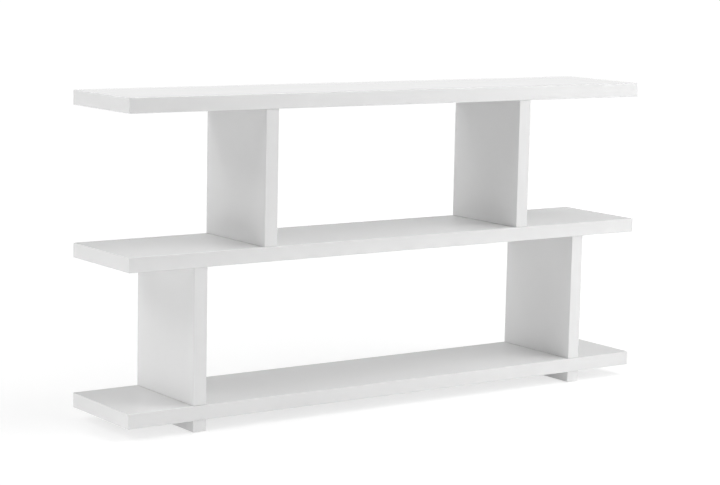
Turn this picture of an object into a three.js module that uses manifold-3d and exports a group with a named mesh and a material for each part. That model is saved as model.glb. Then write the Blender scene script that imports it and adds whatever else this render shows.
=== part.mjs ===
// A console table with open shelves, of the knock-down kind: three equal shelves, two uprights
// in each storey, and two foot rails below, all of white lacquered board. Each end of an upright
// is drawn to its shelf by two cam fittings and kept in line by a dowel. The rails are screwed on
// from below and stand on plastic glides.
// Millimetres, +Z up, front towards -Y. The origin is on the floor, under the table's centre.
import * as THREE from "three";
import { RoundedBoxGeometry } from "three/addons/geometries/RoundedBoxGeometry.js";
import { mergeVertices } from "three/addons/utils/BufferGeometryUtils.js";
import Module from "manifold-3d";

const wasm = await Module();
wasm.setup();

// A size to the nearest 1/64 mm. Vertices of 32 bits hold such a size, its half and its sums
// exactly, so pieces that are stacked share one plane where they touch.
const exact = (size) => Math.round(size * 64) / 64;

// Driving dimensions of the table
const LENGTH = 1500; // every shelf, along X
const DEPTH = 267; // every shelf, along Y
const BOARD = exact(35); // thickness of every board
const OPENING = exact(320); // clear height of each storey
const UPPER_SPACING = 750; // between the centres of the upper uprights
const LOWER_SPACING = 1125; // between the centres of the lower uprights, and of the rails
const SETBACK = 2; // from a shelf's front and back edges to those of an upright or rail
const RAIL_HEIGHT = exact(27); // without the glides
const GLIDE_THICKNESS = exact(2);
const ARRIS_RADIUS = 1.2; // every edge of every board

// Fittings: cams of 15 mm with bolts for thick boards, 8 mm dowels and 4.5 mm screws
const CLEARANCE = 0.3; // all round a fitting in its hole
const END_GAP = 1; // beyond the end of a bolt, screw or stem in its hole
const CAM_BORE_RADIUS = 7.5;
const CAM_TO_END = exact(34); // from a cam's axis to the end of its upright
const CAM_SUNK = 0.5; // from the face of the upright down to the cam
const CAM_WALL = 2; // around the chamber that holds the bolt's head
const CAM_FLOOR = 0.8; // under that chamber
const CAM_CROSS = { span: 7, width: 1.6, depth: 3.5 }; // the driver's recess in its face
const BOLT_HEAD_RADIUS = 3.2;
const BOLT_HEAD_HEIGHT = 3.6;
const BOLT_HEAD_GAP = 0.5; // all round the head inside the cam
const BOLT_NECK_RADIUS = 2.1;
const BOLT_NECK_PAST_CAM = 1;
const BOLT_SHANK_RADIUS = 3.5;
const BOLT_PASSAGE_GAP = 0.5; // all round the shank in the upright
const BOLT_HOLE_RADIUS = 2.5; // in the shelf
const BOLT_THREAD_LENGTH = 11;
const BOLT_POINT = 1.5;
const DOWEL_HOLE_RADIUS = 4;
const DOWEL_LENGTH = 30;
const DOWEL_END_GAP = 0.5;
const DOWEL_BEVEL = 1;
const SCREW_RADIUS = 2.2;
const SCREW_LENGTH = 45;
const SCREW_POINT = 4;
const SCREW_HEAD_RADIUS = 4;
const SCREW_HEAD_HEIGHT = 2.5;
const SCREW_SUNK = 1; // from the rail's underside up to the screw's head
const SCREW_CROSS = { span: 4.4, width: 1, depth: 1.6 }; // the driver's recess in its head
const GLIDE_RADIUS = 10;
const GLIDE_BEVEL = 0.6;
const GLIDE_STEM_RADIUS = 2.2;
const GLIDE_STEM_LENGTH = 8;
const FITTING_INSET = 50; // from a shelf's edge to the cam fittings
const GLIDE_INSET = 30; // from a shelf's edge to the glides
const SCREW_INSET = 90; // from a shelf's edge to the foot screws
const OVERRUN = 1; // of a cutter past the face that it cuts

// Numbers of facets around the round pieces
const CAM_FACETS = 16;
const SMALL_FACETS = 8;
const GLIDE_FACETS = 16;

// Worked out from the above
const BOARD_DEPTH = DEPTH - 2 * SETBACK; // of an upright or rail
const RAIL_Z = GLIDE_THICKNESS + RAIL_HEIGHT / 2;
const BOTTOM_SHELF_Z = GLIDE_THICKNESS + RAIL_HEIGHT + BOARD / 2;
const MIDDLE_SHELF_Z = BOTTOM_SHELF_Z + OPENING + BOARD;
const TOP_SHELF_Z = MIDDLE_SHELF_Z + OPENING + BOARD;
const FITTING_Y = DEPTH / 2 - FITTING_INSET;
const GLIDE_Y = DEPTH / 2 - GLIDE_INSET;
const SCREW_Y = DEPTH / 2 - SCREW_INSET;
const CAM_RADIUS = CAM_BORE_RADIUS - CLEARANCE;
const CAM_MOUTH_RADIUS = BOLT_HEAD_RADIUS + BOLT_HEAD_GAP;
const CAM_BEYOND_BOLT = CAM_MOUTH_RADIUS + CAM_FLOOR; // from the bolt's axis to the bore's floor
const BOLT_HOLE_DEPTH = BOLT_THREAD_LENGTH + END_GAP;
const DOWEL_HOLE_DEPTH = DOWEL_LENGTH / 2 + DOWEL_END_GAP;

const SIDES = [
  { name: "left", sign: -1 },
  { name: "right", sign: 1 },
];
const DEPTHS = [
  { name: "front", sign: -1 },
  { name: "rear", sign: 1 },
];
const ENDS = [
  { name: "top", sign: 1 },
  { name: "bottom", sign: -1 },
];

const lacquer = new THREE.MeshStandardMaterial({
  color: 0xf4f4f4,
  roughness: 0.12,
  metalness: 0,
});
const zinc = new THREE.MeshStandardMaterial({
  color: 0xb4b6b9,
  roughness: 0.35,
  metalness: 1,
});
const beech = new THREE.MeshStandardMaterial({
  color: 0xcfa877,
  roughness: 0.75,
  metalness: 0,
});
const plastic = new THREE.MeshStandardMaterial({
  color: 0xe6e6e4,
  roughness: 0.5,
  metalness: 0,
});

// A closed geometry as a solid that can be cut
function solidOf(geometry) {
  const bare = geometry.clone();
  bare.deleteAttribute("normal");
  bare.deleteAttribute("uv");
  const merged = mergeVertices(bare);
  return new wasm.Manifold(
    new wasm.Mesh({
      numProp: 3,
      vertProperties: merged.attributes.position.array,
      triVerts: new Uint32Array(merged.index.array),
    }),
  );
}

// A geometry with the cutters taken out of it
function cut(geometry, cutters) {
  const solid = cutters.reduce(
    (rest, cutter) => rest.subtract(solidOf(cutter)),
    solidOf(geometry),
  );
  const { vertProperties, triVerts } = solid.getMesh();
  const indexed = new THREE.BufferGeometry()
    .setAttribute("position", new THREE.BufferAttribute(vertProperties, 3))
    .setIndex(new THREE.BufferAttribute(triVerts, 1));
  const faceted = indexed.toNonIndexed();
  faceted.computeVertexNormals();
  return faceted;
}

function box(width, depth, height) {
  return new THREE.BoxGeometry(width, depth, height);
}

// A board with every arris eased
function board(width, depth, height) {
  const arcSteps = 1;
  return new RoundedBoxGeometry(width, depth, height, arcSteps, ARRIS_RADIUS);
}

// A cylinder along Z, from the height z up by length
function cylinderZ(radius, length, z, facets) {
  return new THREE.CylinderGeometry(radius, radius, length, facets)
    .rotateX(Math.PI / 2)
    .translate(0, 0, z + length / 2);
}

// A cylinder along X, from x on by length
function cylinderX(radius, length, x, facets) {
  return new THREE.CylinderGeometry(radius, radius, length, facets)
    .rotateZ(Math.PI / 2)
    .translate(x + length / 2, 0, 0);
}

// A turned piece about Z: its outline runs up from the axis and back to it, as [radius, z]
function turned(outline, facets) {
  const points = outline.map(([radius, z]) => new THREE.Vector2(radius, z));
  return new THREE.LatheGeometry(points, facets).rotateX(Math.PI / 2);
}

// A blind hole into a board's face at height faceZ; the face looks up (side 1) or down (side -1).
function blindHole(x, y, faceZ, side, radius, depth) {
  const low = side > 0 ? faceZ - depth : faceZ - OVERRUN;
  return cylinderZ(radius, depth + OVERRUN, low, SMALL_FACETS).translate(x, y, 0);
}

// The holes in a shelf's face for the end of an upright at x
function shelfJointHoles(x, side) {
  const faceZ = (side * BOARD) / 2;
  const boltHoles = DEPTHS.map((place) =>
    blindHole(x, place.sign * FITTING_Y, faceZ, side, BOLT_HOLE_RADIUS, BOLT_HOLE_DEPTH),
  );
  return [
    ...boltHoles,
    blindHole(x, 0, faceZ, side, DOWEL_HOLE_RADIUS, DOWEL_HOLE_DEPTH),
  ];
}

// The pilot holes in the bottom shelf's underside for the screws of the rail at x
function pilotHoles(x) {
  const depth = SCREW_SUNK + SCREW_LENGTH - RAIL_HEIGHT + END_GAP;
  const radius = SCREW_RADIUS + CLEARANCE;
  return DEPTHS.map((place) =>
    blindHole(x, place.sign * SCREW_Y, -BOARD / 2, -1, radius, depth),
  );
}

// A shelf about its own centre; the lists give the centres of the uprights that meet each face
// and of the rails below.
function shelf({ uprightsAbove = [], uprightsBelow = [], railsBelow = [] }) {
  return cut(board(LENGTH, DEPTH, BOARD), [
    ...uprightsAbove.flatMap((x) => shelfJointHoles(x, 1)),
    ...uprightsBelow.flatMap((x) => shelfJointHoles(x, -1)),
    ...railsBelow.flatMap(pilotHoles),
  ]);
}

// An upright about its own centre: at each end two cam bores from the right face, the passages
// of their bolts, and the hole of the dowel.
function upright() {
  const boreDepth = BOARD / 2 + CAM_BEYOND_BOLT;
  const cutters = ENDS.flatMap((end) => {
    const endZ = (end.sign * OPENING) / 2;
    const camZ = endZ - end.sign * CAM_TO_END;
    const fittings = DEPTHS.flatMap((place) => {
      const y = place.sign * FITTING_Y;
      const bore = cylinderX(CAM_BORE_RADIUS, boreDepth + OVERRUN, -CAM_BEYOND_BOLT, CAM_FACETS);
      return [
        bore.translate(0, y, camZ),
        blindHole(0, y, endZ, end.sign, BOLT_SHANK_RADIUS + BOLT_PASSAGE_GAP, CAM_TO_END),
      ];
    });
    return [
      ...fittings,
      blindHole(0, 0, endZ, end.sign, DOWEL_HOLE_RADIUS, DOWEL_HOLE_DEPTH),
    ];
  });
  return cut(board(BOARD, BOARD_DEPTH, OPENING), cutters);
}

// A foot rail about its own centre: countersunk screw holes right through, and a blind hole for
// the stem of each glide.
function footRail() {
  const underside = -RAIL_HEIGHT / 2;
  const sinkRadius = SCREW_HEAD_RADIUS + CLEARANCE;
  const holeRadius = SCREW_RADIUS + CLEARANCE;
  const countersunkHole = turned(
    [
      [0, underside - OVERRUN],
      [sinkRadius, underside - OVERRUN],
      [sinkRadius, underside + SCREW_SUNK + CLEARANCE],
      [holeRadius, underside + SCREW_SUNK + CLEARANCE + SCREW_HEAD_HEIGHT],
      [holeRadius, -underside + OVERRUN],
      [0, -underside + OVERRUN],
    ],
    SMALL_FACETS,
  );
  const cutters = DEPTHS.flatMap((place) => [
    countersunkHole.clone().translate(0, place.sign * SCREW_Y, 0),
    blindHole(
      0,
      place.sign * GLIDE_Y,
      underside,
      -1,
      GLIDE_STEM_RADIUS + CLEARANCE,
      GLIDE_STEM_LENGTH + END_GAP,
    ),
  ]);
  return cut(board(BOARD, BOARD_DEPTH, RAIL_HEIGHT), cutters);
}

// The two cutters of a cross recess in a face at the origin, for a driver along Z
function crossRecess({ span, width, depth }) {
  return [box(span, width, 2 * depth), box(width, span, 2 * depth)];
}

// A cam, turned home: its axis is along X through the head of its bolt, which leaves along +Z.
// A round chamber holds the head. The head came in by the round mouth on the far side, and the
// neck lies in the narrow slot that runs around the near side.
function cam() {
  const length = CAM_BEYOND_BOLT + BOARD / 2 - CAM_SUNK;
  const outside = CAM_RADIUS + OVERRUN;
  const chamberRadius = CAM_RADIUS - CAM_WALL;
  const chamber = cylinderX(chamberRadius, 2 * CAM_MOUTH_RADIUS, -CAM_MOUTH_RADIUS, SMALL_FACETS);
  const mouth = cylinderZ(CAM_MOUTH_RADIUS, outside, -outside, SMALL_FACETS);
  const slotWidth = 2 * (BOLT_NECK_RADIUS + CLEARANCE);
  const slot = box(slotWidth, 2 * outside, outside).translate(0, 0, outside / 2);
  const cross = crossRecess(CAM_CROSS).map((bar) =>
    bar.rotateY(Math.PI / 2).translate(length - CAM_BEYOND_BOLT, 0, 0),
  );
  const blank = cylinderX(CAM_RADIUS, length, -CAM_BEYOND_BOLT, CAM_FACETS);
  return cut(blank, [chamber, mouth, slot, ...cross]);
}

// A cam bolt: its head is centred at the origin and its thread points along +Z. The shoulder of
// the shank bears on the shelf.
function camBolt() {
  const neckEnd = CAM_BORE_RADIUS + BOLT_NECK_PAST_CAM;
  const taper = BOLT_SHANK_RADIUS - BOLT_NECK_RADIUS;
  const threadRadius = BOLT_HOLE_RADIUS - CLEARANCE;
  const threadEnd = CAM_TO_END + BOLT_THREAD_LENGTH;
  return turned(
    [
      [0, -BOLT_HEAD_HEIGHT / 2],
      [BOLT_NECK_RADIUS, -BOLT_HEAD_HEIGHT / 2],
      [BOLT_HEAD_RADIUS, 0],
      [BOLT_NECK_RADIUS, BOLT_HEAD_HEIGHT / 2],
      [BOLT_NECK_RADIUS, neckEnd],
      [BOLT_SHANK_RADIUS, neckEnd + taper],
      [BOLT_SHANK_RADIUS, CAM_TO_END],
      [threadRadius, CAM_TO_END],
      [threadRadius, threadEnd - BOLT_POINT],
      [0, threadEnd],
    ],
    SMALL_FACETS,
  );
}

// A dowel about its own centre, along Z, with bevelled ends
function dowel() {
  const radius = DOWEL_HOLE_RADIUS - CLEARANCE;
  const half = DOWEL_LENGTH / 2;
  return turned(
    [
      [0, -half],
      [radius - DOWEL_BEVEL, -half],
      [radius, -half + DOWEL_BEVEL],
      [radius, half - DOWEL_BEVEL],
      [radius - DOWEL_BEVEL, half],
      [0, half],
    ],
    SMALL_FACETS,
  );
}

// A countersunk screw along Z, its head's face at the origin, looking down
function footScrew() {
  const blank = turned(
    [
      [0, 0],
      [SCREW_HEAD_RADIUS, 0],
      [SCREW_RADIUS, SCREW_HEAD_HEIGHT],
      [SCREW_RADIUS, SCREW_LENGTH - SCREW_POINT],
      [0, SCREW_LENGTH],
    ],
    SMALL_FACETS,
  );
  return cut(blank, crossRecess(SCREW_CROSS));
}

// A glide on the floor at the origin: a low round foot with a stem that is pressed into the rail
function glide() {
  return turned(
    [
      [0, 0],
      [GLIDE_RADIUS - GLIDE_BEVEL, 0],
      [GLIDE_RADIUS, GLIDE_BEVEL],
      [GLIDE_RADIUS, GLIDE_THICKNESS],
      [GLIDE_STEM_RADIUS, GLIDE_THICKNESS],
      [GLIDE_STEM_RADIUS, GLIDE_THICKNESS + GLIDE_STEM_LENGTH],
      [0, GLIDE_THICKNESS + GLIDE_STEM_LENGTH],
    ],
    GLIDE_FACETS,
  );
}

const uprightGeometry = upright();
const footRailGeometry = footRail();
const camGeometry = cam();
const camBoltGeometry = camBolt();
const dowelGeometry = dowel();
const footScrewGeometry = footScrew();
const glideGeometry = glide();

function piece(name, geometry, material, x = 0, y = 0, z = 0) {
  const mesh = new THREE.Mesh(geometry, material);
  mesh.name = name;
  mesh.position.set(x, y, z);
  return mesh;
}

// A cam and its bolt as they sit together, turned so that the bolt leaves by the upright's end
function camFitting(name, y, end) {
  const fitting = new THREE.Group();
  fitting.add(piece(`${name}_cam`, camGeometry, zinc));
  fitting.add(piece(`${name}_cam_bolt`, camBoltGeometry, zinc));
  fitting.position.set(0, y, end.sign * (OPENING / 2 - CAM_TO_END));
  fitting.rotation.x = end.sign > 0 ? 0 : Math.PI;
  return fitting;
}

// One upright with the fittings in both its ends
function uprightWithFittings(name, x, z) {
  const assembly = new THREE.Group();
  assembly.add(piece(`${name}_upright`, uprightGeometry, lacquer));
  for (const end of ENDS) {
    assembly.add(
      piece(`${name}_${end.name}_dowel`, dowelGeometry, beech, 0, 0, (end.sign * OPENING) / 2),
    );
    for (const place of DEPTHS) {
      const fittingName = `${name}_${end.name}_${place.name}`;
      assembly.add(camFitting(fittingName, place.sign * FITTING_Y, end));
    }
  }
  assembly.position.set(x, 0, z);
  return assembly;
}

// One foot rail with its screws and glides
function railWithFittings(name, x) {
  const assembly = new THREE.Group();
  assembly.add(piece(`${name}_foot_rail`, footRailGeometry, lacquer, 0, 0, RAIL_Z));
  for (const place of DEPTHS) {
    assembly.add(
      piece(
        `${name}_${place.name}_foot_screw`,
        footScrewGeometry,
        zinc,
        0,
        place.sign * SCREW_Y,
        GLIDE_THICKNESS + SCREW_SUNK,
      ),
      piece(
        `${name}_${place.name}_glide`,
        glideGeometry,
        plastic,
        0,
        place.sign * GLIDE_Y,
      ),
    );
  }
  assembly.position.x = x;
  return assembly;
}

const upperCentres = SIDES.map((side) => (side.sign * UPPER_SPACING) / 2);
const lowerCentres = SIDES.map((side) => (side.sign * LOWER_SPACING) / 2);
const topShelf = shelf({ uprightsBelow: upperCentres });
const middleShelf = shelf({ uprightsAbove: upperCentres, uprightsBelow: lowerCentres });
const bottomShelf = shelf({ uprightsAbove: lowerCentres, railsBelow: lowerCentres });

const table = new THREE.Group();
table.add(
  piece("top_shelf", topShelf, lacquer, 0, 0, TOP_SHELF_Z),
  piece("middle_shelf", middleShelf, lacquer, 0, 0, MIDDLE_SHELF_Z),
  piece("bottom_shelf", bottomShelf, lacquer, 0, 0, BOTTOM_SHELF_Z),
);
SIDES.forEach((side, index) => {
  const upperZ = (MIDDLE_SHELF_Z + TOP_SHELF_Z) / 2;
  const lowerZ = (BOTTOM_SHELF_Z + MIDDLE_SHELF_Z) / 2;
  table.add(uprightWithFittings(`upper_${side.name}`, upperCentres[index], upperZ));
  table.add(uprightWithFittings(`lower_${side.name}`, lowerCentres[index], lowerZ));
  table.add(railWithFittings(side.name, lowerCentres[index]));
});

export default table;
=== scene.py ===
"""A white lacquered console table on a pale studio floor. Metres, +Z up, front towards -Y."""

import math

import bmesh
import bpy
from mathutils import Matrix, Vector


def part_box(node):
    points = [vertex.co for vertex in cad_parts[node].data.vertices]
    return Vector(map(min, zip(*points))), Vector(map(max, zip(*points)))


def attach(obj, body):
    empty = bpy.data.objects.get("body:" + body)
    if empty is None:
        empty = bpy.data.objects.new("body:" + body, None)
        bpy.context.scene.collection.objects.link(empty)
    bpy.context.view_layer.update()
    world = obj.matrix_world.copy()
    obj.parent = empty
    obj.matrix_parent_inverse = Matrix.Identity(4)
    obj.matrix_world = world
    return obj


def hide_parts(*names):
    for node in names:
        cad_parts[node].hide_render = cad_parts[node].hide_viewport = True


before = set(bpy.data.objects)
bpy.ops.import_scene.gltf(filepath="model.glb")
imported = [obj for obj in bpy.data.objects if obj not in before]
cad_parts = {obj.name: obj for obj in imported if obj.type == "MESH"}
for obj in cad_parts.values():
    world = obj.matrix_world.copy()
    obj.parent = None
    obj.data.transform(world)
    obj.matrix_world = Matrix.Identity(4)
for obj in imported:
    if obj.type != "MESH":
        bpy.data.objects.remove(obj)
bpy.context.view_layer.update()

MM = 0.001
UP = Vector((0, 0, 1))
DOWN = Vector((0, 0, -1))
RIGHT = Vector((1, 0, 0))

# Camera: where it stands from the table, in degrees and metres, and what it looks at
CAMERA_AZIMUTH = -35.18
CAMERA_ELEVATION = 8.21
CAMERA_ROLL = 1.19
CAMERA_DISTANCE = 5.181
CAMERA_TARGET = Vector((-0.030, 0.0, 0.389))
CAMERA_LENS_MM = 105.06
CAMERA_SENSOR_MM = 36
CAMERA_CLIP_END = 200

# Softboxes: name, where it hangs, what it faces, width, height, radiance
SOFTBOXES = (
    ("overhead", (0.2, -0.2, 2.5), (0.2, -0.2, 0.4), 4.0, 3.2, 0.50),
    ("front", (1.6, -1.9, 1.7), (0.4, 0, 0.4), 3.4, 2.2, 1.79),
    ("key", (1.82, -1.38, 4.11), (0, 0, 0.39), 2.0, 2.0, 4.4),
    ("rear", (0.2, 2.0, 1.9), (0, 0, 0.4), 2.6, 1.2, 1.1),
    ("left_skirt", (-2.3, 0.2, 0.13), (0, 0, 0.03), 2.4, 0.24, 3.4),
    ("left_high", (-2.3, 0.2, 1.90), (-0.5, 0, 0.6), 1.6, 1.2, 2.8),
    ("left_rear", (-1.86, 1.28, 2.40), (-0.03, 0, 0.39), 2.0, 1.4, 1.2),
)
# Softboxes that the gloss doesn't mirror: mirrored, this one whitens the top shelf from behind
UNMIRRORED = ("front",)

# How bright the studio's walls are to the table at each elevation in degrees. The shelves mirror them.
WALL_GLOW = ((4.5, 0.87), (6.5, 0.61), (13, 0.58), (18, 0.0))

# Floor: a disc in metres. It has one grey and glow for the camera and another for the table.
FLOOR_RADIUS = 60
FLOOR_SIDES = 96
FLOOR_SEEN_GREY = 0.42
# From metres away from the middle, to brightness
FLOOR_SEEN_GLOW = {"From Min": 0.6, "From Max": 4, "To Min": 0.66, "To Max": 1.0}
FLOOR_TABLE_GREY = 0.85
FLOOR_TABLE_GLOW = 0.14

# Shading: angles in degrees above which an edge stays sharp
BOARD_SHARP_ANGLE = 50
TURNED_SHARP_ANGLE = 38
WELD_DISTANCE = 1e-6
NORMAL_WEIGHT = 50  # neutral, so that a face counts by its area

# Fittings, in millimetres. A rim, point, fillet or barb is a list of (inset, rise) steps.
CAP_FACETS = 48
CAP_RADIUS = 8.6
CAP_HEIGHT = 1.3
CAP_RIM = ((0.3, 0), (0.08, 0.1), (0, 0.3), (0.05, 0.55), (0.22, 0.8), (0.5, 0.98), (1.0, 1.1))
CAP_DOME = ((0.6, 0.07), (0.3, 0.02))  # share of the radius, and how far below the height
CAP_PEG_RADIUS = 0.7
CAP_PEG_LENGTH = 3.4
CAP_PEG_POINT = ((0.2, 0), (0, 0.3))

GLIDE_FACETS = 64
GLIDE_RADIUS = 10
GLIDE_THICKNESS = 2
GLIDE_RIM = (
    (2.0, 0),
    (0.9, 0.08),
    (0.35, 0.3),
    (0.08, 0.65),
    (0, 1.0),
    (0, 1.7),
    (0.1, 1.9),
    (0.3, GLIDE_THICKNESS),
)
GLIDE_STEM_RADIUS = 2.2
GLIDE_STEM_LENGTH = 8
GLIDE_STEM_POINT = ((0.4, 0.4), (0.9, 0))
GLIDE_BARBS = 4
GLIDE_BARB_START = 1
GLIDE_BARB_PITCH = 1.5
GLIDE_BARB = ((0, 0), (0.35, 0.9), (0.35, 1.1))

DOWEL_RADIUS = 3.7
DOWEL_BEVEL = 1
DOWEL_RIM = ((DOWEL_BEVEL, 0), (0.3, 0.5), (0, DOWEL_BEVEL))
DOWEL_FLUTES = 20
DOWEL_FLUTE_DEPTH = 0.28
DOWEL_FACETS_PER_FLUTE = 6

CAM_TO_END = 34
BOLT_FACETS = 24
BOLT_HEAD_RADIUS = 3.2
BOLT_HEAD_HEIGHT = 3.6
BOLT_HEAD_END = ((0.2, 0), (-0.35, 0.35))  # inset from the neck's radius
BOLT_HEAD_BELLY = ((0.25, -0.6), (0, 0), (0.25, 0.6))
BOLT_NECK_RADIUS = 2.1
BOLT_NECK_FILLET = ((-0.1, 0), (0, 0.3))
BOLT_NECK_END = 8.5
BOLT_SHANK_RADIUS = 3.5
BOLT_SHANK_SHOULDER = ((0.2, 1.2), (0, 1.5))
BOLT_SHANK_RIM = ((0, -0.3), (0.3, 0))
BOLT_THREAD_RADIUS = 2.2
BOLT_POINT = 1.5
BOLT_TIP = 0.6
BOLT_THREAD_ON_POINT = 0.5

SCREW_FACETS = 48
SCREW_RADIUS = 2.2
SCREW_HEAD_RADIUS = 4
SCREW_HEAD_HEIGHT = 2.5
SCREW_RINGS_PER_MM = 4  # across the face of the head
SCREW_HEAD_RIM = ((0.1, 0.02), (0, 0.15))
SCREW_HEAD_FILLET = ((-0.3, -0.4), (0, 0.2))
SCREW_NECK = 4
SCREW_POINT = 4
SCREW_POINT_STEPS = 8
SCREW_BARE_TIP = 0.5
SCREW_CROSS = {"reach": 2.2, "half_width": 0.5, "depth": 1.6, "taper": 0.45}

THREAD_PITCH = 1.8
THREAD_DEPTH = 0.5
THREAD_STEP = 0.3  # between the rings that carry it
THREAD_FADE = 1  # over which it deepens at each end
THREAD_FLANK = 0.8  # exponent of the groove's profile: 1 is a plain V, and less makes it wider


def direction(azimuth, elevation):
    """The unit vector from the table towards a point; azimuth 0 is the front and 90 the right end."""
    a = math.radians(azimuth)
    e = math.radians(elevation)
    return Vector((math.sin(a) * math.cos(e), -math.cos(a) * math.cos(e), math.sin(e)))


def add_camera():
    """The scene's camera, at the angle of the photograph."""
    azimuth = math.radians(CAMERA_AZIMUTH)
    back = direction(CAMERA_AZIMUTH, CAMERA_ELEVATION)
    level_right = Vector((math.cos(azimuth), math.sin(azimuth), 0))
    level_up = back.cross(level_right)
    turn = Matrix((level_right, level_up, back)).transposed()
    roll = Matrix.Rotation(math.radians(CAMERA_ROLL), 3, "Z")
    place = Matrix.Translation(CAMERA_TARGET + back * CAMERA_DISTANCE)
    data = bpy.data.cameras.new("camera")
    data.lens = CAMERA_LENS_MM
    data.sensor_width = CAMERA_SENSOR_MM
    data.clip_end = CAMERA_CLIP_END
    camera = bpy.data.objects.new("camera", data)
    camera.matrix_world = place @ (turn @ roll).to_4x4()
    bpy.context.collection.objects.link(camera)
    bpy.context.scene.camera = camera


class Finish:
    """A node material under way: the shader, and short calls for the nodes that feed it."""

    # The colour sockets of a Mix node, which share their names with its other types'
    MIX_COLOURS = (6, 7)
    MIX_RESULT = 2

    def __init__(self, name):
        self.material = bpy.data.materials.new(name)
        self.material.use_nodes = True
        self.nodes = self.material.node_tree.nodes
        self.links = self.material.node_tree.links
        self.shader = self.nodes["Principled BSDF"]
        self.place = self.nodes.new("ShaderNodeTexCoord").outputs["Object"]
        self.normal = None

    def set(self, **values):
        """Uniform values on the shader's own sockets, with _ for each space in a socket's name."""
        for name, value in values.items():
            self.shader.inputs[name.replace("_", " ")].default_value = value

    def feed(self, socket, output):
        """A value that varies, into one of the shader's sockets."""
        self.links.new(output, self.shader.inputs[socket])

    def stretched(self, scale):
        """The place on the object with each axis multiplied."""
        mapping = self.nodes.new("ShaderNodeMapping")
        mapping.inputs["Scale"].default_value = scale
        self.links.new(self.place, mapping.inputs["Vector"])
        return mapping.outputs["Vector"]

    def noise(self, per_metre, detail=2, place=None, roughness=0.5):
        """Noise with that many features in a metre, or in a unit of place."""
        node = self.nodes.new("ShaderNodeTexNoise")
        node.inputs["Scale"].default_value = per_metre
        node.inputs["Detail"].default_value = detail
        node.inputs["Roughness"].default_value = roughness
        self.links.new(place or self.place, node.inputs["Vector"])
        return node.outputs["Fac"]

    def between(self, fac, low, high, from_low=0.3, from_high=0.7):
        """fac, from from_low to from_high, spread over low to high."""
        node = self.nodes.new("ShaderNodeMapRange")
        node.inputs["From Min"].default_value = from_low
        node.inputs["From Max"].default_value = from_high
        node.inputs["To Min"].default_value = low
        node.inputs["To Max"].default_value = high
        self.links.new(fac, node.inputs["Value"])
        return node.outputs["Result"]

    def ramp(self, fac, *stops):
        """Colours along fac, each stop as (position, (red, green, blue))."""
        node = self.nodes.new("ShaderNodeValToRGB")
        set_stops(node.color_ramp, [(position, (*colour, 1)) for position, colour in stops])
        self.links.new(fac, node.inputs["Fac"])
        return node.outputs["Color"]

    def mix(self, fac, colour_a, colour_b):
        """colour_a where fac is 0 and colour_b where it is 1."""
        node = self.nodes.new("ShaderNodeMix")
        node.data_type = "RGBA"
        self.links.new(fac, node.inputs["Factor"])
        for socket, colour in zip(self.MIX_COLOURS, (colour_a, colour_b)):
            self.links.new(colour, node.inputs[socket])
        return node.outputs[self.MIX_RESULT]

    def bump(self, height, metres):
        """Relief of that height in metres, on top of the relief so far."""
        node = self.nodes.new("ShaderNodeBump")
        node.inputs["Strength"].default_value = 1
        node.inputs["Distance"].default_value = metres
        self.links.new(height, node.inputs["Height"])
        if self.normal:
            self.links.new(self.normal, node.inputs["Normal"])
        self.normal = node.outputs["Normal"]
        self.feed("Normal", self.normal)


def set_stops(color_ramp, stops):
    """Gives a colour ramp its stops, each as (position, (red, green, blue, alpha))."""
    while len(color_ramp.elements) < len(stops):
        color_ramp.elements.new(1)
    for element, (position, colour) in zip(color_ramp.elements, stops):
        element.position = position
        element.color = colour


def grey(level):
    """An opaque neutral colour."""
    return (level, level, level, 1)


def lacquer():
    """White gloss lacquer on fibreboard: faint orange peel, and a slow wave from the sanding."""
    finish = Finish("white_lacquer")
    finish.set(IOR=1.5)
    cloud = finish.noise(5, detail=3)
    white = finish.ramp(cloud, (0.3, (0.812, 0.812, 0.812)), (0.7, (0.832, 0.832, 0.831)))
    finish.feed("Base Color", white)
    finish.feed("Roughness", finish.between(finish.noise(26, detail=4), 0.04, 0.075))
    finish.bump(finish.noise(11, detail=1), metres=0.00001)
    finish.bump(finish.noise(210, detail=2), metres=0.0000025)
    return finish.material


def zinc():
    """Bright zinc plate over steel: a bluish cast in patches and a fine tumbled grain."""
    finish = Finish("zinc_plate")
    finish.set(Metallic=1.0)
    patches = finish.ramp(
        finish.noise(160, detail=3),
        (0.3, (0.62, 0.64, 0.66)),
        (0.55, (0.72, 0.73, 0.74)),
        (0.75, (0.66, 0.70, 0.75)),
    )
    finish.feed("Base Color", patches)
    finish.feed("Roughness", finish.between(finish.noise(900, detail=4), 0.24, 0.42))
    finish.bump(finish.noise(2600, detail=3), metres=0.000012)
    return finish.material


def beech():
    """Raw turned beech: long pale grain and the short dark flecks of its rays."""
    finish = Finish("beech")
    grain = finish.noise(1, detail=5, place=finish.stretched((620, 620, 45)), roughness=0.6)
    pale = finish.ramp(
        grain,
        (0.3, (0.50, 0.31, 0.165)),
        (0.5, (0.63, 0.43, 0.255)),
        (0.72, (0.72, 0.52, 0.34)),
    )
    fleck_shape = finish.noise(1, detail=1, place=finish.stretched((2600, 2600, 420)))
    fleck = finish.between(fleck_shape, 0, 1, from_low=0.62, from_high=0.70)
    dark = finish.ramp(grain, (0.3, (0.33, 0.18, 0.09)), (0.7, (0.42, 0.25, 0.13)))
    finish.feed("Base Color", finish.mix(fleck, pale, dark))
    finish.feed("Roughness", finish.between(grain, 0.58, 0.74))
    finish.bump(grain, metres=0.00008)
    return finish.material


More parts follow.
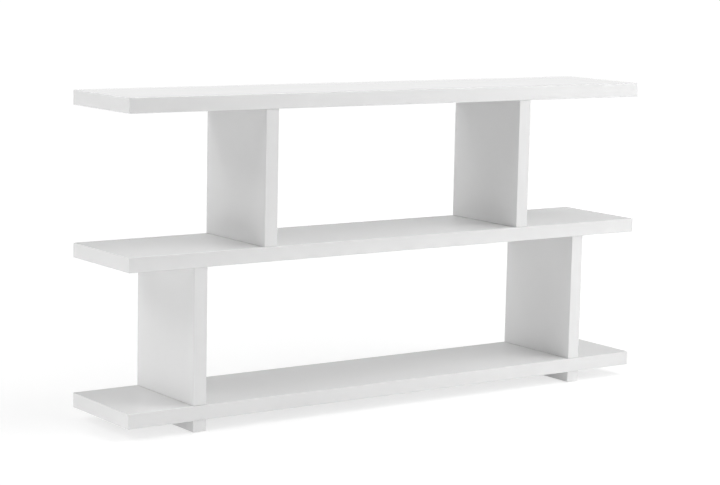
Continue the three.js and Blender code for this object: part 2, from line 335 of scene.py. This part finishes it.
def glide_plastic():
    """Milky polyethylene with the fine spark-eroded grain of its mould, scuffed a little."""
    finish = Finish("glide_plastic")
    finish.set(Subsurface_Weight=0.1, Subsurface_Scale=0.002)
    tint = finish.noise(90, detail=2)
    milky = finish.ramp(tint, (0.3, (0.72, 0.72, 0.70)), (0.7, (0.78, 0.78, 0.765)))
    finish.feed("Base Color", milky)
    finish.feed("Roughness", finish.between(finish.noise(700, detail=4), 0.42, 0.62))
    finish.bump(finish.noise(3200, detail=2), metres=0.00002)
    return finish.material


def cap_plastic():
    """Glossy moulded plastic, a shade duller than the lacquer: a slight sink and flow marks."""
    finish = Finish("cap_plastic")
    tint = finish.noise(70, detail=2)
    dull_white = finish.ramp(tint, (0.3, (0.70, 0.70, 0.69)), (0.7, (0.73, 0.73, 0.72)))
    finish.feed("Base Color", dull_white)
    finish.feed("Roughness", finish.between(finish.noise(400, detail=3), 0.2, 0.3))
    finish.bump(finish.noise(260, detail=1), metres=0.00001)
    finish.bump(finish.noise(2400, detail=2), metres=0.000003)
    return finish.material


def easing_group():
    """A modifier group that welds a CAD mesh, drops the normals it came with, and shades it smooth
    apart from its sharp edges."""
    group = bpy.data.node_groups.new("easing", "GeometryNodeTree")
    group.interface.new_socket("Geometry", in_out="INPUT", socket_type="NodeSocketGeometry")
    group.interface.new_socket("Geometry", in_out="OUTPUT", socket_type="NodeSocketGeometry")
    nodes = group.nodes
    links = group.links
    start = nodes.new("NodeGroupInput")
    merge = nodes.new("GeometryNodeMergeByDistance")
    merge.inputs["Distance"].default_value = WELD_DISTANCE
    plain = nodes.new("GeometryNodeRemoveAttribute")
    plain.inputs["Name"].default_value = "custom_normal"
    smooth = nodes.new("GeometryNodeSetShadeSmooth")
    smooth.domain = "FACE"
    smooth.inputs["Shade Smooth"].default_value = True
    angle = nodes.new("GeometryNodeInputMeshEdgeAngle")
    compare = nodes.new("FunctionNodeCompare")
    compare.operation = "GREATER_THAN"
    compare.inputs["B"].default_value = math.radians(BOARD_SHARP_ANGLE)
    sharp = nodes.new("GeometryNodeSetShadeSmooth")
    sharp.domain = "EDGE"
    sharp.inputs["Shade Smooth"].default_value = False
    end = nodes.new("NodeGroupOutput")
    links.new(start.outputs[0], merge.inputs["Geometry"])
    links.new(merge.outputs["Geometry"], plain.inputs["Geometry"])
    links.new(plain.outputs["Geometry"], smooth.inputs["Geometry"])
    links.new(smooth.outputs["Geometry"], sharp.inputs["Geometry"])
    links.new(angle.outputs["Unsigned Angle"], compare.inputs["A"])
    links.new(compare.outputs["Result"], sharp.inputs["Selection"])
    links.new(sharp.outputs["Geometry"], end.inputs[0])
    return group


def ease_edges(node, group):
    """Rounds a CAD piece's shading over its eased arrises and leaves its large faces flat."""
    easing = node.modifiers.new("easing", "NODES")
    easing.node_group = group
    weighted = node.modifiers.new("weighted", "WEIGHTED_NORMAL")
    weighted.keep_sharp = True
    weighted.weight = NORMAL_WEIGHT


def turned(name, outline, facets, at, axis, finish, shape=None):
    """A closed turned piece. The outline runs from the axis back to the axis as (radius, height) in
    millimetres; shape(radius, height, angle), where given, moves each point to a new (radius, height)."""
    bm = bmesh.new()
    rings = []
    for radius, height in outline:
        points = 1 if radius == 0 else facets
        ring = []
        for i in range(points):
            angle = 2 * math.pi * i / facets
            r, h = shape(radius, height, angle) if shape else (radius, height)
            ring.append(bm.verts.new((r * math.cos(angle) * MM, r * math.sin(angle) * MM, h * MM)))
        rings.append(ring)
    for lower, upper in zip(rings, rings[1:]):
        for i in range(facets):
            j = (i + 1) % facets
            corners = [
                lower[i % len(lower)],
                lower[j % len(lower)],
                upper[j % len(upper)],
                upper[i % len(upper)],
            ]
            bm.faces.new(list(dict.fromkeys(corners)))
    bmesh.ops.recalc_face_normals(bm, faces=bm.faces)
    mesh = bpy.data.meshes.new(name)
    bm.to_mesh(mesh)
    bm.free()
    turn = axis.to_track_quat("Z", "Y").to_matrix().to_4x4()
    mesh.transform(Matrix.Translation(at) @ turn)
    mesh.polygons.foreach_set("use_smooth", [True] * len(mesh.polygons))
    mesh.set_sharp_from_angle(angle=math.radians(TURNED_SHARP_ANGLE))
    mesh.materials.append(finish)
    piece = bpy.data.objects.new(name, mesh)
    bpy.context.collection.objects.link(piece)
    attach(piece, "root")
    return piece


def stepped(radius, height, steps):
    """The points of (inset, rise) steps, in from a radius and up from a height."""
    return [(radius - inset, height + rise) for inset, rise in steps]


def stepped_down(radius, height, steps):
    """The points of (inset, rise) steps, in from a radius and down from a height."""
    return [(radius - inset, height - rise) for inset, rise in steps]


def run(radius, start, end):
    """Rings of one radius from start to end, close enough to carry a thread."""
    count = math.ceil((end - start) / THREAD_STEP)
    return [(radius, start + (end - start) * i / count) for i in range(count + 1)]


def thread(start, end):
    """A shape that cuts a thread between two heights, running out at both."""

    def shape(radius, height, angle):
        if radius == 0 or not start < height < end:
            return radius, height
        turn = (height / THREAD_PITCH - angle / (2 * math.pi)) % 1
        fade = min(1, (height - start) / THREAD_FADE, (end - height) / THREAD_FADE)
        groove = (1 - abs(2 * turn - 1)) ** THREAD_FLANK
        return radius - THREAD_DEPTH * fade * groove, height

    return shape


def fluted(radius, height, angle):
    """A shape that presses flutes along a dowel's full width and leaves its bevels round."""
    if radius < DOWEL_RADIUS:
        return radius, height
    groove = (0.5 + 0.5 * math.cos(DOWEL_FLUTES * angle)) ** 2
    return radius - DOWEL_FLUTE_DEPTH * groove, height


def add_cap(cam):
    """A cap over a cam, on the upright's right face, its peg in the cam's recess."""
    low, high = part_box(cam)
    centre = (low + high) / 2
    upright = cam.split("_top_")[0].split("_bottom_")[0] + "_upright"
    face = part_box(upright)[1].x
    outline = [
        (0, -CAP_PEG_LENGTH),
        *stepped(CAP_PEG_RADIUS, -CAP_PEG_LENGTH, CAP_PEG_POINT),
        (CAP_PEG_RADIUS, 0),
        *stepped(CAP_RADIUS, 0, CAP_RIM),
        *[(CAP_RADIUS * share, CAP_HEIGHT - drop) for share, drop in CAP_DOME],
        (0, CAP_HEIGHT),
    ]
    at = Vector((face, centre.y, centre.z))
    turned(cam + "_cap", outline, CAP_FACETS, at, RIGHT, cap_white)


def add_glide(node):
    """A glide with a rounded foot and a barbed stem, for a plain one in the CAD."""
    low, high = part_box(node)
    centre = (low + high) / 2
    stem_end = GLIDE_THICKNESS + GLIDE_STEM_LENGTH
    first_barb = GLIDE_THICKNESS + GLIDE_BARB_START
    outline = [
        (0, 0),
        *stepped(GLIDE_RADIUS, 0, GLIDE_RIM),
        (GLIDE_STEM_RADIUS, GLIDE_THICKNESS),
    ]
    for i in range(GLIDE_BARBS):
        outline += stepped(GLIDE_STEM_RADIUS, first_barb + GLIDE_BARB_PITCH * i, GLIDE_BARB)
    outline += [
        *stepped_down(GLIDE_STEM_RADIUS, stem_end, GLIDE_STEM_POINT),
        (0, stem_end),
    ]
    at = Vector((centre.x, centre.y, low.z))
    piece = turned(node + "_moulded", outline, GLIDE_FACETS, at, UP, glide_white)
    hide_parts(node)


def add_dowel(node):
    """A dowel with pressed flutes, for a plain one in the CAD."""
    low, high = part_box(node)
    centre = (low + high) / 2
    half = (high.z - low.z) / 2 / MM
    outline = [
        (0, -half),
        *stepped(DOWEL_RADIUS, -half, DOWEL_RIM),
        *stepped_down(DOWEL_RADIUS, half, reversed(DOWEL_RIM)),
        (0, half),
    ]
    facets = DOWEL_FLUTES * DOWEL_FACETS_PER_FLUTE
    piece = turned(node + "_fluted", outline, facets, centre, UP, wood, fluted)
    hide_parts(node)


def add_cam_bolt(node):
    """A threaded bolt, for a plain one in the CAD. Its heights count from the middle of its head, and
    those at an upright's top point up."""
    low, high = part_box(node)
    centre = (low + high) / 2
    half_head = BOLT_HEAD_HEIGHT / 2
    end = (high.z - low.z) / MM - half_head
    thread_end = end - BOLT_POINT
    outline = [
        (0, -half_head),
        *stepped(BOLT_NECK_RADIUS, -half_head, BOLT_HEAD_END),
        *stepped(BOLT_HEAD_RADIUS, 0, BOLT_HEAD_BELLY),
        *stepped(BOLT_NECK_RADIUS, half_head, BOLT_NECK_FILLET),
        (BOLT_NECK_RADIUS, BOLT_NECK_END),
        *stepped(BOLT_SHANK_RADIUS, BOLT_NECK_END, BOLT_SHANK_SHOULDER),
        *stepped(BOLT_SHANK_RADIUS, CAM_TO_END, BOLT_SHANK_RIM),
        *run(BOLT_THREAD_RADIUS, CAM_TO_END, thread_end),
        (BOLT_THREAD_RADIUS / 2, end - BOLT_TIP),
        (0, end),
    ]
    if "_top_" in node:
        axis = UP
        head_end = low.z
    else:
        axis = DOWN
        head_end = high.z
    at = Vector((centre.x, centre.y, head_end)) + axis * half_head * MM
    cut = thread(CAM_TO_END, thread_end + BOLT_THREAD_ON_POINT)
    piece = turned(node + "_threaded", outline, BOLT_FACETS, at, axis, plate, cut)
    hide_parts(node)


def add_foot_screw(node):
    """A threaded screw with its head down and a cross in it, for a plain one in the CAD."""
    low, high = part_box(node)
    centre = (low + high) / 2
    length = (high.z - low.z) / MM
    thread_start = SCREW_HEAD_HEIGHT + SCREW_NECK
    point_start = length - SCREW_POINT
    cut_thread = thread(thread_start, length - SCREW_BARE_TIP)
    face_rings = range(1, SCREW_RINGS_PER_MM * SCREW_HEAD_RADIUS - 1)
    point = [
        (SCREW_RADIUS * (1 - i / SCREW_POINT_STEPS), point_start + SCREW_POINT * i / SCREW_POINT_STEPS)
        for i in range(1, SCREW_POINT_STEPS)
    ]
    outline = [
        (0, 0),
        *[(i / SCREW_RINGS_PER_MM, 0) for i in face_rings],
        *stepped(SCREW_HEAD_RADIUS, 0, SCREW_HEAD_RIM),
        *stepped(SCREW_RADIUS, SCREW_HEAD_HEIGHT, SCREW_HEAD_FILLET),
        *run(SCREW_RADIUS, thread_start, point_start),
        *point,
        (0, length),
    ]

    def cut(radius, height, angle):
        """The thread, and in the head's face the cross, which is shallower at its ends."""
        if height > 0:
            return cut_thread(radius, height, angle)
        x = abs(radius * math.cos(angle))
        y = abs(radius * math.sin(angle))
        along = max(x, y)
        across = min(x, y)
        if across >= SCREW_CROSS["half_width"] or along >= SCREW_CROSS["reach"]:
            return radius, 0
        rise = 1 - SCREW_CROSS["taper"] * along / SCREW_CROSS["reach"]
        return radius, SCREW_CROSS["depth"] * rise

    at = Vector((centre.x, centre.y, low.z))
    piece = turned(node + "_threaded", outline, SCREW_FACETS, at, UP, plate, cut)
    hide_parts(node)


def floor_material():
    """To the camera, soft shadows on a floor that grows as light as the walls away from the table. To
    the table, a pale floor with a low glow. From below it is clear."""
    material = bpy.data.materials.new("floor")
    material.use_nodes = True
    nodes = material.node_tree.nodes
    links = material.node_tree.links
    nodes.clear()
    place = nodes.new("ShaderNodeTexCoord")
    distance = nodes.new("ShaderNodeVectorMath")
    distance.operation = "LENGTH"
    glow_by_distance = nodes.new("ShaderNodeMapRange")
    glow_by_distance.interpolation_type = "SMOOTHSTEP"
    for socket, value in FLOOR_SEEN_GLOW.items():
        glow_by_distance.inputs[socket].default_value = value
    seen_glow = nodes.new("ShaderNodeEmission")
    seen_grey = nodes.new("ShaderNodeBsdfDiffuse")
    seen_grey.inputs["Color"].default_value = grey(FLOOR_SEEN_GREY)
    seen = nodes.new("ShaderNodeAddShader")
    table_grey = nodes.new("ShaderNodeBsdfDiffuse")
    table_grey.inputs["Color"].default_value = grey(FLOOR_TABLE_GREY)
    table_glow = nodes.new("ShaderNodeEmission")
    table_glow.inputs["Strength"].default_value = FLOOR_TABLE_GLOW
    lit = nodes.new("ShaderNodeAddShader")
    path = nodes.new("ShaderNodeLightPath")
    choice = nodes.new("ShaderNodeMixShader")
    side = nodes.new("ShaderNodeNewGeometry")
    clear = nodes.new("ShaderNodeBsdfTransparent")
    clear_below = nodes.new("ShaderNodeMixShader")
    output = nodes.new("ShaderNodeOutputMaterial")
    links.new(place.outputs["Object"], distance.inputs[0])
    links.new(distance.outputs["Value"], glow_by_distance.inputs["Value"])
    links.new(glow_by_distance.outputs["Result"], seen_glow.inputs["Strength"])
    links.new(seen_grey.outputs[0], seen.inputs[0])
    links.new(seen_glow.outputs[0], seen.inputs[1])
    links.new(table_grey.outputs[0], lit.inputs[0])
    links.new(table_glow.outputs[0], lit.inputs[1])
    links.new(path.outputs["Is Camera Ray"], choice.inputs[0])
    links.new(lit.outputs[0], choice.inputs[1])
    links.new(seen.outputs[0], choice.inputs[2])
    links.new(side.outputs["Backfacing"], clear_below.inputs[0])
    links.new(choice.outputs[0], clear_below.inputs[1])
    links.new(clear.outputs[0], clear_below.inputs[2])
    links.new(clear_below.outputs[0], output.inputs["Surface"])
    return material


def add_floor():
    """A wide disc under the table."""
    ring = []
    for i in range(FLOOR_SIDES):
        angle = 2 * math.pi * i / FLOOR_SIDES
        ring.append((FLOOR_RADIUS * math.cos(angle), FLOOR_RADIUS * math.sin(angle), 0))
    mesh = bpy.data.meshes.new("floor")
    mesh.from_pydata(ring, [], [list(range(FLOOR_SIDES))])
    mesh.materials.append(floor_material())
    floor = bpy.data.objects.new("floor", mesh)
    bpy.context.collection.objects.link(floor)


def add_surround():
    """The studio's walls: plain white to the camera, and to the table a glow that fades with height."""
    world = bpy.data.worlds.new("studio")
    world.use_nodes = True
    nodes = world.node_tree.nodes
    links = world.node_tree.links
    nodes.clear()
    place = nodes.new("ShaderNodeTexCoord")
    split = nodes.new("ShaderNodeSeparateXYZ")
    by_height = nodes.new("ShaderNodeValToRGB")
    set_stops(
        by_height.color_ramp,
        [(math.sin(math.radians(elevation)), grey(glow)) for elevation, glow in WALL_GLOW],
    )
    walls = nodes.new("ShaderNodeBackground")
    seen = nodes.new("ShaderNodeBackground")
    seen.inputs["Color"].default_value = grey(1)
    path = nodes.new("ShaderNodeLightPath")
    choice = nodes.new("ShaderNodeMixShader")
    output = nodes.new("ShaderNodeOutputWorld")
    links.new(place.outputs["Generated"], split.inputs[0])
    links.new(split.outputs["Z"], by_height.inputs["Fac"])
    links.new(by_height.outputs["Color"], walls.inputs["Color"])
    links.new(path.outputs["Is Camera Ray"], choice.inputs[0])
    links.new(walls.outputs[0], choice.inputs[1])
    links.new(seen.outputs[0], choice.inputs[2])
    links.new(choice.outputs[0], output.inputs["Surface"])
    bpy.context.scene.world = world


def add_softbox(name, place, aim, width, height, radiance):
    """A rectangular light that faces its aim, with the power that gives its face that radiance."""
    data = bpy.data.lights.new(name, "AREA")
    data.shape = "RECTANGLE"
    data.size = width
    data.size_y = height
    data.energy = radiance * math.pi * width * height
    lamp = bpy.data.objects.new(name, data)
    lamp.location = Vector(place)
    lamp.rotation_mode = "QUATERNION"
    lamp.rotation_quaternion = (Vector(aim) - Vector(place)).to_track_quat("-Z", "Y")
    lamp.visible_camera = False
    lamp.visible_glossy = name not in UNMIRRORED
    bpy.context.collection.objects.link(lamp)


white = lacquer()
plate = zinc()
wood = beech()
glide_white = glide_plastic()
cap_white = cap_plastic()

# By the end of a node's name: its finish, and what is added for it
FINISHES = {
    "_shelf": white,
    "_upright": white,
    "_rail": white,
    "_cam": plate,
    "_bolt": plate,
    "_screw": plate,
    "_dowel": wood,
    "_glide": glide_white,
}
DETAILS = {
    "_cam": add_cap,
    "_glide": add_glide,
    "_dowel": add_dowel,
    "_cam_bolt": add_cam_bolt,
    "_foot_screw": add_foot_screw,
}

add_camera()
easing = easing_group()
for name, node in sorted(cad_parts.items()):
    finish = next(look for ending, look in FINISHES.items() if name.endswith(ending))
    node.data.materials.clear()
    node.data.materials.append(finish)
    if finish is white or name.endswith("_cam"):
        ease_edges(node, easing)
    for ending, add_detail in DETAILS.items():
        if name.endswith(ending):
            add_detail(name)

add_floor()
add_surround()
for softbox in SOFTBOXES:
    add_softbox(*softbox)
bpy.context.scene.view_settings.view_transform = "Standard"
